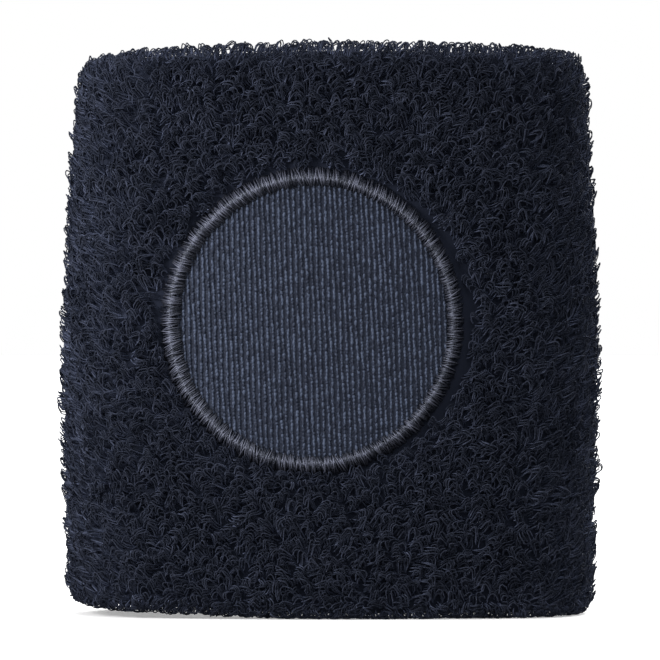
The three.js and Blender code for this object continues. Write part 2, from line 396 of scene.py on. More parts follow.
SECTION_POINTS = 96
STEPS_ROUND = 220
seam_low_at = 2 * straight + half_turn - (SEAM_LOW - fold_bottom) - section_length
seam_high_at = straight + half_turn + (fold_top - SEAM_HIGH)
pile_side = on_section(np.linspace(seam_low_at, seam_high_at, SECTION_POINTS))
wrong_side = on_section(np.linspace(seam_high_at, seam_low_at, SECTION_POINTS), GROUND_THICKNESS)
ground_mesh = wall_mesh("terry_ground", np.concatenate([pile_side[0], wrong_side[0]]),
                        np.concatenate([pile_side[1], wrong_side[1]]), STEPS_ROUND)
ground = place("terry_ground", ground_mesh, ground_cloth)
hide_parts("terry_front_half", "terry_rear_half")
stretches(ground)


# ---- Pile loops ----------------------
# Uncut cotton loops, knitted in courses round the tube. Each rises from the ground, leans over
# the course above it and twists a little. The lining has fewer and shorter loops.
PILE_YARN = 0.20 * MM
PLY_GAP = 0.36 * MM
LOOP_TWIST = 0.9
OUTER_PLIES = 3
OUTER_LOOP_POINTS = 7
OUTER_YARN_SIDES = 3
OUTER_LOOP_WIDTH = 1.35 * MM
OUTER_LOOP_HEIGHT = 2.2 * MM
OUTER_LEAN_SWING = 0.9
OUTER_LEAN_SPREAD = 0.8
OUTER_COURSE = 1.05 * MM
OUTER_WALE = 1.12 * MM
OUTER_SHARE_OF_FOLD = 0.75
HEM_CLOSENESS = 0.85
LINING_YARN = 0.38 * MM
LINING_LOOP_POINTS = 5
LINING_YARN_SIDES = 4
LINING_LOOP_WIDTH = 1.6 * MM
LINING_LOOP_HEIGHT = 1.7 * MM
LINING_LEAN_SWING = 0.6
LINING_LEAN_SPREAD = 1.2
LINING_COURSE = 1.40 * MM
LINING_WALE = 1.35 * MM
SEAM_CLEARANCE = 0.4 * MM
PLIES_PER_PIECE = 4800
FIRST_PILE_SEED = 100
STANDING_SOFTNESS = 0.2 * MM
PATCH_CLEARANCE = 0.25 * MM
CRUSHED_GAP = 1.0 * MM
CRUSHED_TURN = math.radians(10)
VALLEY_WIDTH = 2.6 * MM
VALLEY_SHORTENING = 0.34
UPRIGHT = np.array([[0, 0, 1.0]])

border_low, border_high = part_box("satin_border_thread")
patch_x = (border_low.x + border_high.x) / 2
patch_z = (border_low.z + border_high.z) / 2
patch_radius = (border_high.z - border_low.z) / 2


def start_tree(name, inputs):
    """A geometry tree that takes a mesh and named sizes: whole numbers stay whole."""
    tree = bpy.data.node_groups.new(name, "GeometryNodeTree")
    tree.interface.new_socket("Geometry", in_out="OUTPUT", socket_type="NodeSocketGeometry")
    tree.interface.new_socket("Geometry", in_out="INPUT", socket_type="NodeSocketGeometry")
    for label, value in inputs.items():
        kind = "NodeSocketInt" if isinstance(value, int) else "NodeSocketFloat"
        kind = "NodeSocketMaterial" if value is None else kind
        socket = tree.interface.new_socket(label, in_out="INPUT", socket_type=kind)
        if value is not None:
            socket.default_value = value
    return tree, tree.nodes.new("NodeGroupInput").outputs


def end_tree(tree, geometry, material):
    """Ends a tree in plain smooth geometry in its material."""
    smooth = add(tree, "GeometryNodeSetShadeSmooth", geometry)
    real = add(tree, "GeometryNodeRealizeInstances", smooth)
    finished = add(tree, "GeometryNodeSetMaterial", real, None, material)
    add(tree, "NodeGroupOutput", finished)
    return tree


def stored(tree, geometry, name, value, data_type="FLOAT"):
    return add(tree, "GeometryNodeStoreNamedAttribute", geometry, None, name, value,
               data_type=data_type, domain="POINT")


def attribute(tree, name, data_type="FLOAT"):
    return add(tree, "GeometryNodeInputNamedAttribute", name, data_type=data_type).outputs["Attribute"]


def direction(tree, name):
    return attribute(tree, name, "FLOAT_VECTOR")


def product(tree, first, *others):
    for other in others:
        first = maths(tree, "MULTIPLY", first, other)
    return first


def plus(tree, first, *others):
    """Adds up vectors."""
    for other in others:
        first = add(tree, "ShaderNodeVectorMath", first, other, operation="ADD")
    return first


def numbered(tree, points):
    return stored(tree, points, "loop_number", add(tree, "GeometryNodeInputIndex"), "INT")


def strands(tree, points, strand_points):
    """Stands a straight strand on each point, to be bent into shape. Each strand knows its number,
    and each point on it knows its way along."""
    line = add(tree, "GeometryNodeCurvePrimitiveLine")
    strand = add(tree, "GeometryNodeResampleCurve", line, None, strand_points)
    strand = stored(tree, strand, "yarn_way", add(tree, "GeometryNodeSplineParameter").outputs["Factor"])
    stood = add(tree, "GeometryNodeInstanceOnPoints", numbered(tree, points), None, strand)
    return add(tree, "GeometryNodeRealizeInstances", stood)


def chances(tree, seed, number):
    """Gives a function that draws a random value for each number."""
    def chance(low, high, draw, of=number):
        return add(tree, "FunctionNodeRandomValue", low, high, of, maths(tree, "ADD", seed, draw))

    return chance


def thickened(tree, line, sides, diameter, capped=True):
    """Gives a line the thickness of its yarn."""
    section = add(tree, "GeometryNodeCurvePrimitiveCircle", sides, maths(tree, "MULTIPLY", diameter, 0.5))
    return add(tree, "GeometryNodeCurveToMesh", line, section, 1.0, capped)


def pile_tree():
    """Stands one loop of yarn on each foot point. A foot gives the directions out of the cloth,
    along the course and up the wale, and how tall, wide, bent, turned and sheared its loop is."""
    tree, given = start_tree("terry_pile", {
        "Points per loop": OUTER_LOOP_POINTS, "Yarn sides": OUTER_YARN_SIDES, "Yarn diameter": PILE_YARN,
        "Plies": OUTER_PLIES, "Ply gap": PLY_GAP, "Loop width": OUTER_LOOP_WIDTH,
        "Loop height": OUTER_LOOP_HEIGHT, "Lean spread": OUTER_LEAN_SPREAD, "Twist": LOOP_TWIST,
        "Seed": FIRST_PILE_SEED, "Material": None})
    loops = strands(tree, given["Geometry"], given["Points per loop"])
    ply_number = attribute(tree, "loop_number", "INT")
    number = maths(tree, "FLOOR", maths(tree, "DIVIDE", ply_number, given["Plies"]))
    ply = maths(tree, "SUBTRACT", ply_number, maths(tree, "MULTIPLY", number, given["Plies"]))
    chance = chances(tree, given["Seed"], number)

    # Where each point is on its loop: turn runs from one foot to the other, rise from 0 to 1, and
    # the points stand closer together over the crest.
    loop_turn = chance(1.85, 2.35, 1)
    way = maths(tree, "MULTIPLY_ADD", attribute(tree, "yarn_way"), 2.0, -1.0)
    closeness = maths(tree, "MULTIPLY_ADD", product(tree, way, way), 0.4, 0.6)
    turn = product(tree, way, closeness, loop_turn)
    foot_cos = maths(tree, "COSINE", loop_turn)
    risen = maths(tree, "SUBTRACT", maths(tree, "COSINE", turn), foot_cos)
    rise = maths(tree, "DIVIDE", risen, maths(tree, "SUBTRACT", 1.0, foot_cos))

    # The loop bends over as it rises.
    size = maths(tree, "ADD", chance(0.82, 1.15, 2), chance(-0.17, 0.17, 10, ply_number))
    height = product(tree, size, attribute(tree, "tall"), given["Loop height"])
    bend = product(tree, attribute(tree, "bend"), chance(0.5, 1.7, 3))
    bent = product(tree, bend, rise)
    bend_radius = maths(tree, "DIVIDE", height, bend)
    stand = product(tree, maths(tree, "SINE", bent), bend_radius)
    fall = product(tree, maths(tree, "SUBTRACT", 1.0, maths(tree, "COSINE", bent)), bend_radius)

    # It leans its own way, and twists about its own foot.
    own_lean = product(tree, chance(-1.0, 1.0, 4), given["Lean spread"])
    lean = maths(tree, "ADD", attribute(tree, "lean"), own_lean)
    twist = product(tree, chance(-1.0, 1.0, 5), given["Twist"], rise)
    set_askew = maths(tree, "ADD", chance(-0.45, 0.45, 6), chance(-0.3, 0.3, 12, ply_number))
    side_turn = maths(tree, "ADD", maths(tree, "ADD", lean, set_askew), twist)
    out, along, up = direction(tree, "out"), direction(tree, "along"), direction(tree, "up")

    def turned(angle, first, second):
        """first turned towards second by an angle."""
        kept = times(tree, first, maths(tree, "COSINE", angle))
        return plus(tree, kept, times(tree, second, maths(tree, "SINE", angle)))

    lean_way = turned(lean, up, times(tree, along, -1.0))
    side_way = turned(side_turn, along, up)
    beside_way = turned(side_turn, up, times(tree, along, -1.0))
    broad = product(tree, size, attribute(tree, "wide"), given["Loop width"])
    half = product(tree, broad, chance(0.36, 0.62, 7))
    side = product(tree, maths(tree, "SINE", turn), half)
    shear = maths(tree, "ADD", attribute(tree, "shear"), chance(-0.35, 0.35, 8))
    side = maths(tree, "ADD", side, product(tree, shear, rise, height))
    middle_ply = maths(tree, "MULTIPLY_ADD", given["Plies"], 0.5, -0.5)
    apart = product(tree, given["Ply gap"], chance(0.7, 1.3, 11, ply_number))
    beside = product(tree, maths(tree, "SUBTRACT", ply, middle_ply), apart)
    place_at = plus(tree, direction(tree, "foot"), times(tree, out, stand), times(tree, lean_way, fall),
                    times(tree, side_way, side), times(tree, beside_way, beside))

    # No loop goes below the surface that the band stands on.
    parts = add(tree, "ShaderNodeSeparateXYZ", place_at).outputs
    lowest = product(tree, given["Yarn diameter"], 0.5)
    kept_up = maths(tree, "SMOOTH_MAX", parts["Z"], lowest, STANDING_SOFTNESS)
    place_at = add(tree, "ShaderNodeCombineXYZ", parts["X"], parts["Y"], kept_up)
    loops = add(tree, "GeometryNodeSetPosition", loops, None, place_at)
    loops = stored(tree, loops, "loop_shade", chance(0.0, 1.0, 9, ply_number))
    # The rise is kept for the finish, which paints the feet of the loops lighter as painted light.
    loops = stored(tree, loops, "loop_rise", rise)
    body = thickened(tree, loops, given["Yarn sides"], given["Yarn diameter"])
    return end_tree(tree, body, given["Material"])


def grown(name, tree, feet, settings, edges=()):
    """Runs a tree on a mesh of points and gives back the plain mesh that it makes. feet holds an
    array of points and other named arrays, one row for each point."""
    seedbed = bpy.data.meshes.new(name + "_feet")
    seedbed.from_pydata(feet["foot"].tolist(), edges, [])
    for label, values in feet.items():
        kind = "FLOAT_VECTOR" if values.ndim == 2 else "FLOAT"
        layer = seedbed.attributes.new(label, kind, "POINT")
        layer.data.foreach_set("vector" if values.ndim == 2 else "value", values.astype(np.float32).ravel())
    carrier = bpy.data.objects.new(name + "_feet", seedbed)
    scene.collection.objects.link(carrier)
    growth = carrier.modifiers.new("growth", "NODES")
    growth.node_group = tree
    for item in tree.interface.items_tree:
        if item.in_out == "INPUT" and item.name in settings:
            growth[item.identifier] = settings[item.name]
    evaluated = carrier.evaluated_get(bpy.context.evaluated_depsgraph_get())
    mesh = bpy.data.meshes.new_from_object(evaluated)
    mesh.name = name
    carrier.modifiers.clear()
    bpy.data.objects.remove(carrier)
    bpy.data.meshes.remove(seedbed)
    for label in (*feet, "loop_number", "yarn_way"):
        if label in mesh.attributes:
            mesh.attributes.remove(mesh.attributes[label])
    return mesh


def unroll(mesh, points, sides):
    """Lays each loop's yarn flat in a cell of its own on the sheet that its colour is baked to."""
    per_loop = points * sides
    loop_total = len(mesh.vertices) // per_loop
    across = math.ceil(math.sqrt(loop_total))
    corners = np.zeros(len(mesh.loops), np.int32)
    mesh.loops.foreach_get("vertex_index", corners)
    starts = np.zeros(len(mesh.polygons), np.int32)
    mesh.polygons.foreach_get("loop_start", starts)
    face_of = np.searchsorted(starts, np.arange(len(corners)), side="right") - 1
    own = corners % per_loop
    ring, side = own // sides, own % sides
    face_sides = np.zeros(len(starts), np.int32)
    np.maximum.at(face_sides, face_of, side)
    has_first = np.zeros(len(starts), bool)
    np.logical_or.at(has_first, face_of, side == 0)
    wraps = has_first[face_of] & (face_sides[face_of] == sides - 1) & (side == 0)
    side = np.where(wraps, sides, side)
    cell = corners // per_loop
    u = (cell % across + 0.06 + 0.88 * ring / (points - 1)) / across
    v = (cell // across + 0.06 + 0.88 * side / sides) / across
    flat = mesh.uv_layers.new(name="OFBake")
    flat.data.foreach_set("uv", np.stack([u, v], -1).astype(np.float32).ravel())


chance_of = np.random.default_rng(41)


def foot_rows(first, last, course, wale, outside_line):
    """Feet in courses along the section between two distances, staggered from course to course."""
    rows = max(1, round((last - first) / course))
    places = []
    count = round(girth(outside_line) / wale)
    for row in range(rows):
        distance = first + (row + 0.5) * (last - first) / rows
        stagger = 0.5 * (row % 2)
        ways = (np.arange(count) + stagger + chance_of.uniform(-0.32, 0.32, count)) / count
        distances = distance + chance_of.uniform(-0.3, 0.3, count) * course
        places.append(np.stack([ways, distances], -1))
    return np.concatenate(places)


def ripple(way, height, scale, phase):
    """A slow wave over the cloth, between -1 and 1, for the lie of the pile."""
    first = np.sin(2 * math.pi * (3 * way * scale + 29 * height * scale) + phase)
    second = np.sin(2 * math.pi * (-5 * way * scale + 41 * height * scale) + 2.1 * phase)
    third = np.sin(2 * math.pi * (11 * way * scale + 13 * height * scale) + 3.7 * phase)
    return (first + second + third) / 3


def feet_on(places, lean_swing, patch_gap):
    """Each foot's place and directions, and how tall, wide, bent, turned and sheared its loop is."""
    way, distance = places[:, 0] % 1.0, places[:, 1]
    outside, height, across, upward = on_section(distance)
    points, out_flat, along = on_wall(way, outside, height)
    out = out_flat * across[:, None] + UPRIGHT * upward[:, None]
    up = np.cross(out, along)
    beside_patch, above_patch = points[:, 0] - patch_x, points[:, 2] - patch_z
    from_patch = np.hypot(beside_patch, above_patch) - patch_radius
    crushed = np.clip(np.cos(np.arctan2(above_patch, beside_patch) + CRUSHED_TURN), 0, 1)
    from_patch = from_patch - CRUSHED_GAP * crushed ** 1.5
    in_front = (points[:, 1] < 0) & (across > 0.5)
    near = np.where(in_front, from_patch, 1.0)
    kept = near > patch_gap
    valley = np.clip(1 - near / VALLEY_WIDTH, 0, 1)
    size = 1 - VALLEY_SHORTENING * valley + 0.08 * ripple(way, height, 1.0, 0.7)
    sideways = out_flat[:, 0] ** 2
    rim = np.clip(upward, 0, 1)
    hem = np.clip(-upward, 0, 1)
    feet = {
        "foot": points,
        "out": out,
        "along": along,
        "up": up,
        "tall": size * (1 - 0.45 * rim - 0.60 * hem) * (1 - 0.22 * sideways),
        "wide": size * (1 - 0.25 * rim + 0.15 * hem),
        "bend": (1 - 0.40 * rim - 0.85 * hem) * (1 + 0.8 * sideways),
        "lean": lean_swing * ripple(way, height, 1.6, 0.3),
        "shear": 0.35 * rim,
    }
    return {label: values[kept] for label, values in feet.items()}


pile = pile_tree()


def grow_pile(name, feet, plies, points, sides, settings):
    """Grows one stretch of pile as several pieces."""
    total = len(feet["foot"])
    parts = math.ceil(total * plies / PLIES_PER_PIECE)
    for part in range(parts):
        rows = slice(part * total // parts, (part + 1) * total // parts)
        ply_feet = {label: values[rows].repeat(plies, 0) for label, values in feet.items()}
        piece_name = f"{name}_{part + 1}"
        mesh = grown(piece_name, pile, ply_feet, {
            "Points per loop": points, "Yarn sides": sides, "Plies": plies, "Ply gap": PLY_GAP,
            "Twist": LOOP_TWIST, "Seed": FIRST_PILE_SEED + part, "Material": pile_yarn, **settings})
        unroll(mesh, points, sides)
        piece = place(piece_name, mesh, pile_yarn)
        stretches(piece)


outer_end = straight + OUTER_SHARE_OF_FOLD * half_turn
hem_places = foot_rows(-half_turn, 0, HEM_CLOSENESS * OUTER_COURSE, HEM_CLOSENESS * OUTER_WALE, 0)
face_places = foot_rows(0, outer_end, OUTER_COURSE, OUTER_WALE, OUTER_GROUND)
outer_feet = feet_on(np.concatenate([hem_places, face_places]), OUTER_LEAN_SWING, PATCH_CLEARANCE)
grow_pile("outer_pile", outer_feet, OUTER_PLIES, OUTER_LOOP_POINTS, OUTER_YARN_SIDES, {
    "Yarn diameter": PILE_YARN, "Loop width": OUTER_LOOP_WIDTH, "Loop height": OUTER_LOOP_HEIGHT,
    "Lean spread": OUTER_LEAN_SPREAD})

lining_places = foot_rows(outer_end, section_length - half_turn, LINING_COURSE, LINING_WALE, LINING_GROUND)
lining_height = on_section(lining_places[:, 1])[1]
from_seam = np.maximum(SEAM_LOW - lining_height, lining_height - SEAM_HIGH)
lining_feet = feet_on(lining_places[from_seam > SEAM_CLEARANCE], LINING_LEAN_SWING, -math.inf)
grow_pile("lining_pile", lining_feet, 1, LINING_LOOP_POINTS, LINING_YARN_SIDES, {
    "Yarn diameter": LINING_YARN, "Loop width": LINING_LOOP_WIDTH, "Loop height": LINING_LOOP_HEIGHT,
    "Lean spread": LINING_LEAN_SPREAD})


# ---- Elastic yarns -------------------
# Covered rubber threads that the machine lays in between the two layers, so that the band grips.
# They run level round the whole band, and the cover thread's turns ripple them a little.
ELASTIC_YARN = 0.4 * MM
ELASTIC_POINTS = 160
ELASTIC_RIPPLES = 40.0


def thread_tree():
    """Turns closed lines of points into thread. Each line swings up and down and in and out as it
    goes, by as many waves as it is given."""
    tree, given = start_tree("running_thread", {
        "Thread diameter": ELASTIC_YARN, "Thread sides": 5, "Waves": ELASTIC_RIPPLES, "Swing up": 0.0,
        "Swing out": 0.0, "Start": 0.0, "Material": None})
    along = product(tree, attribute(tree, "way"), given["Waves"])
    turn = maths(tree, "MULTIPLY_ADD", along, 2 * math.pi, given["Start"])
    rise = product(tree, maths(tree, "SINE", turn), given["Swing up"])
    depth = product(tree, maths(tree, "COSINE", product(tree, turn, 2.0)), given["Swing out"])
    lift = add(tree, "ShaderNodeCombineXYZ", 0.0, 0.0, rise)
    offset = plus(tree, lift, times(tree, direction(tree, "out"), depth))
    line = add(tree, "GeometryNodeMeshToCurve", given["Geometry"])
    line = add(tree, "GeometryNodeSetPosition", line, None, None, offset)
    body = thickened(tree, line, given["Thread sides"], given["Thread diameter"], capped=False)
    return end_tree(tree, body, given["Material"])


def rings_round(levels, outside, points):
    """Closed rings of points round the wall, one for each height."""
    ways = np.tile(np.arange(points) / points, len(levels))
    heights = np.repeat(levels, points)
    places, out, _ = on_wall(ways, outside, heights)
    start = np.repeat(np.arange(len(levels)) * points, points)
    step = np.tile(np.arange(points), len(levels))
    edges = np.stack([start + step, start + (step + 1) % points], -1)
    return {"foot": places, "out": out, "way": ways}, edges.tolist()


def thread_material(name, dark, light, twist, roughness):
    """Twisted thread: pale and dark strands turn about each other along it."""
    material, tree, shader = new_material(name, roughness)
    spot = add(tree, "ShaderNodeTexCoord").outputs["Object"]
    strand = add(tree, "ShaderNodeTexWave", spot, twist, 3.0, 2.0, 1.5, wave_type="BANDS",
                 bands_direction="DIAGONAL")
    tree.links.new(between(tree, strand.outputs["Fac"], dark, light), shader.inputs["Base Color"])
    return material


running_thread = thread_tree()
elastic_cover = thread_material("elastic_cover", (0.010, 0.011, 0.016, 1), (0.030, 0.032, 0.042, 1),
                                twist=2600, roughness=0.55)
elastic_nodes = sorted(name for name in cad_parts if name.startswith("elastic_yarn_"))
elastic_levels = [(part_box(name)[0].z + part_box(name)[1].z) / 2 for name in elastic_nodes]
elastic_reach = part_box(elastic_nodes[0])[1].x / fullness(elastic_levels[0])
elastic_outside = elastic_reach - end_centre - END_RADIUS - ELASTIC_YARN / 2
elastic_rings, elastic_edges = rings_round(elastic_levels, elastic_outside, ELASTIC_POINTS)
elastic_mesh = grown("elastic_yarns", running_thread, elastic_rings, {
    "Thread diameter": ELASTIC_YARN, "Thread sides": 5, "Waves": ELASTIC_RIPPLES, "Swing up": 0.05 * MM,
    "Swing out": 0.03 * MM, "Material": elastic_cover}, elastic_edges)
elastic = place("elastic_yarns", elastic_mesh, elastic_cover)
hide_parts(*elastic_nodes)
stretches(elastic)


# ---- Closing seam --------------------
# The tube's two raw ends are overlocked together inside, low down: a needle thread runs along the
# join, and two looper threads cross over it and lock on each other at the edges.
SEAM_THREAD = 0.36 * MM
SEAM_STITCHES = 56
SEAM_POINTS = 720
seam_level = (SEAM_LOW + SEAM_HIGH) / 2
seam_thread_finish = thread_material("seam_thread", (0.014, 0.017, 0.027, 1), (0.050, 0.057, 0.080, 1),
                                     twist=2300, roughness=0.5)


def seam_thread(name, node, outside, swing_up, swing_out, start):
    """One thread of the seam, in place of its plain ring."""
    ring, edges = rings_round([seam_level], outside, SEAM_POINTS)
    mesh = grown(name, running_thread, ring, {
        "Thread diameter": SEAM_THREAD, "Thread sides": 6, "Waves": float(SEAM_STITCHES),
        "Swing up": swing_up, "Swing out": swing_out, "Start": start, "Material": seam_thread_finish}, edges)
    thread = place(name, mesh, seam_thread_finish)
    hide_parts(node)
    stretches(thread)


seam_thread("seam_inner_looper", "seam_inner_looper_thread", -2.75 * MM, 1.15 * MM, 0.14 * MM, 0.0)
seam_thread("seam_outer_looper", "seam_outer_looper_thread", -1.45 * MM, 0.75 * MM, 0.10 * MM, math.pi)
seam_thread("seam_needle", "seam_needle_thread", -2.15 * MM, 0.12 * MM, 0.16 * MM, 0.5)


# ---- Patch cloth ---------------------
# A round of ribbed woven polyester. Fine ribs run almost upright, each a row of short floats of
# the warp that lie end to end over the filling threads. It is one sheet, held by the border.
FACE_DEPTH = 1.25 * MM
FACE_THICKNESS = 0.35 * MM
RIB_PITCH = 0.73 * MM
RIB_TILT = math.radians(2.4)
RIB_WANDER = 0.05 * MM
RIB_WANDER_LENGTH = 1.9 * MM
RIB_UNEVENNESS = 0.04 * MM
FLOAT_PITCH = 0.50 * MM
FLOAT_WIDTH = 0.44 * MM
FLOAT_HEIGHT = 0.40 * MM
FLOAT_LENGTH = 0.82 * MM
FLOATS_INSET = 0.3 * MM
SUNK_UNDER_FLOATS = 0.08 * MM
BEAD_SEGMENTS = 6
BEAD_RINGS = 4
DISC_RINGS = 14
DISC_SPOKES = 72
HIDDEN_EDGE = 0.6 * MM
PATCH_DARK = (0.011, 0.016, 0.033, 1)
PATCH_LIGHT = (0.064, 0.082, 0.132, 1)
PATCH_SPECKLE = 3700
face_radius_flat = patch_radius - HIDDEN_EDGE
patch_right = patch_x / fullness(patch_z)


def on_front(right, height, depth):
    """Points on the front, right of its middle along the cloth, at a depth below the pile's tips."""
    turn = right / (face_radius + WALL / 2)
    reach = face_radius + WALL / 2 - depth
    full = fullness(height)
    sin, cos, zero = np.sin(turn), np.cos(turn), 0 * turn
    points = np.stack([full * reach * sin, full * (face_centre - reach * cos), height + zero], -1)
    return points, np.stack([sin, -cos, zero], -1), np.stack([cos, sin, zero], -1)


def on_patch(right, up, depth):
    """The same, measured from the patch's middle."""
    return on_front(patch_right + right, patch_z + up, depth)


def patch_material():
    """Satin navy polyester, each float dyed a little apart."""
    material, tree, shader = new_material("patch_cloth", 0.62)
    colour = speckled(tree, PATCH_SPECKLE, 2.0, 0.4, 0.54, 0.84, 1.0, PATCH_DARK, PATCH_LIGHT)
    tree.links.new(colour, shader.inputs["Base Color"])
    shader.inputs["Specular IOR Level"].default_value = 0.3
    return material


def disc_mesh(name, radius, top, thickness):
    """A closed round of cloth that follows the crown of the front."""
    right, height, depth = [0.0], [0.0], [top]
    for ring in range(1, DISC_RINGS + 1):
        turns = np.arange(DISC_SPOKES) * 2 * math.pi / DISC_SPOKES
        right.extend(radius * ring / DISC_RINGS * np.cos(turns))
        height.extend(radius * ring / DISC_RINGS * np.sin(turns))
        depth.extend([top] * DISC_SPOKES)
    layer = len(right)
    depth.extend([top + thickness] * layer)
    points, _, _ = on_patch(np.array(right * 2), np.array(height * 2), np.array(depth))
    faces = []
    for spoke in range(DISC_SPOKES):
        after = (spoke + 1) % DISC_SPOKES
        faces.append((0, 1 + spoke, 1 + after))
        faces.append((layer, layer + 1 + after, layer + 1 + spoke))
        for ring in range(DISC_RINGS - 1):
            near, far = 1 + ring * DISC_SPOKES, 1 + (ring + 1) * DISC_SPOKES
            faces.append((near + spoke, far + spoke, far + after, near + after))
            faces.append(tuple(layer + corner for corner in faces[-1][::-1]))
        edge = 1 + (DISC_RINGS - 1) * DISC_SPOKES
        faces.append((edge + spoke, layer + edge + spoke, layer + edge + after, edge + after))
    mesh = bpy.data.meshes.new(name)
    mesh.from_pydata(points.tolist(), [], faces)
    return mesh


def float_tree():
    """Lays one float of yarn on each point, out of the cloth and up its rib."""
    tree, given = start_tree("rib_floats", {
        "Float width": FLOAT_WIDTH, "Float height": FLOAT_HEIGHT, "Float length": FLOAT_LENGTH,
        "Seed": 1, "Material": None})
    bead = add(tree, "GeometryNodeMeshUVSphere", BEAD_SEGMENTS, BEAD_RINGS, 0.5).outputs["Mesh"]
    chance = chances(tree, given["Seed"], attribute(tree, "loop_number", "INT"))
    spots = stored(tree, numbered(tree, given["Geometry"]), "loop_shade", chance(0.0, 1.0, 3))
    askew = times(tree, direction(tree, "beside"), chance(-0.22, 0.22, 4))
    lying = plus(tree, direction(tree, "rib"), askew)
    lie = add(tree, "FunctionNodeAxesToRotation", direction(tree, "out"), lying, primary_axis="Z",
              secondary_axis="Y")
    size = add(tree, "ShaderNodeCombineXYZ", product(tree, given["Float width"], chance(0.7, 1.12, 5)),
               product(tree, given["Float length"], chance(0.75, 1.35, 1)),
               product(tree, given["Float height"], chance(0.65, 1.2, 2)))
    laid = add(tree, "GeometryNodeInstanceOnPoints", spots, None, bead, None, None, lie, size)
    return end_tree(tree, add(tree, "GeometryNodeRealizeInstances", laid), given["Material"])


def unroll_beads(mesh, segments, rings):
    """Lays each float flat in a cell of its own: its segments across, and its rings up."""
    per_bead = segments * (rings - 1) + 2
    bead_total = len(mesh.vertices) // per_bead
    across = math.ceil(math.sqrt(bead_total))
    layout = []
    for face in mesh.polygons[:segments * rings]:
        own = np.array(face.vertices)
        at_pole = (own == 0) | (own == per_bead - 1)
        ring = np.where(own == per_bead - 1, rings, 1 + (own - 1) // segments)
        ring = np.where(own == 0, 0, ring)
        segment = (own - 1.0) % segments
        wraps = np.ptp(segment[~at_pole]) > 1
        segment = np.where(wraps & (segment == 0), segments, segment)
        segment = np.where(at_pole, segment[~at_pole].mean(), segment)
        layout.append(np.stack([segment / segments, ring / rings], -1))
    layout = np.concatenate(layout)
    cell = np.arange(bead_total)[:, None]
    corner = np.stack([cell % across, cell // across], -1)
    spots = (corner + 0.05 + 0.9 * layout[None]) / across
    mesh.uv_layers.new(name="OFBake").data.foreach_set("uv", spots.astype(np.float32).ravel())


patch_finish = patch_material()
cloth_mesh = disc_mesh("patch_cloth", face_radius_flat, FACE_DEPTH + SUNK_UNDER_FLOATS,
                       FACE_THICKNESS - SUNK_UNDER_FLOATS)
patch_cloth = place("patch_cloth", cloth_mesh, patch_finish)
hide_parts("patch_face")
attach(patch_cloth, "front_half")

rib_count = round(2 * face_radius_flat / RIB_PITCH) + 2
floats_up = round(2 * face_radius_flat / FLOAT_PITCH)
rib_numbers = np.repeat(np.arange(rib_count) - (rib_count - 1) / 2, floats_up)
float_numbers = np.tile(np.arange(floats_up) - (floats_up - 1) / 2, rib_count)
stagger = chance_of.uniform(-0.5, 0.5, rib_count).repeat(floats_up)
rib_up = (float_numbers + stagger + chance_of.uniform(-0.12, 0.12, len(stagger))) * FLOAT_PITCH
wander = RIB_WANDER * np.sin(rib_up / RIB_WANDER_LENGTH + 1.3 * rib_numbers)
rib_right = rib_numbers * RIB_PITCH - math.tan(RIB_TILT) * rib_up + wander
rib_right = rib_right + chance_of.uniform(-RIB_UNEVENNESS, RIB_UNEVENNESS, len(rib_right))
within = np.hypot(rib_right, rib_up) < face_radius_flat - FLOATS_INSET
rib_points, rib_out, rib_along = on_patch(rib_right[within], rib_up[within], FACE_DEPTH)
rib_rise = UPRIGHT * math.cos(RIB_TILT) - rib_along * math.sin(RIB_TILT)
rib_feet = {"foot": rib_points, "out": rib_out, "rib": rib_rise, "beside": rib_along}
rib_mesh = grown("patch_ribs", float_tree(), rib_feet, {
    "Float width": FLOAT_WIDTH, "Float height": FLOAT_HEIGHT, "Float length": FLOAT_LENGTH, "Seed": 7,
    "Material": patch_finish})
unroll_beads(rib_mesh, BEAD_SEGMENTS, BEAD_RINGS)
ribs = place("patch_ribs", rib_mesh, patch_finish)
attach(ribs, "front_half")


# ---- Satin border --------------------
# Embroidery thread sewn over the patch's edge in close slanting stitches, which arch over a strip
# of padding stitches and go down through the outer terry layer on both sides.
STITCH_PITCH = 0.155 * MM
BORDER_THREAD = 0.17 * MM
STITCH_SLANT = math.radians(8)
CREST_INSET = 1.4 * MM
OUTER_SLOPE = 1.7 * MM
INNER_SLOPE = 0.98 * MM
INNER_SLOPE_CHANGE = 0.27 * MM
INNER_DROP = 1.15 * MM
OUTER_DROP = 2.3 * MM
CREST_DEPTH = 0.1 * MM
STITCH_POINTS = 9
STITCH_SIDES = 5
BORDER_DARK = (0.008, 0.010, 0.017, 1)
BORDER_LIGHT = (0.160, 0.170, 0.230, 1)


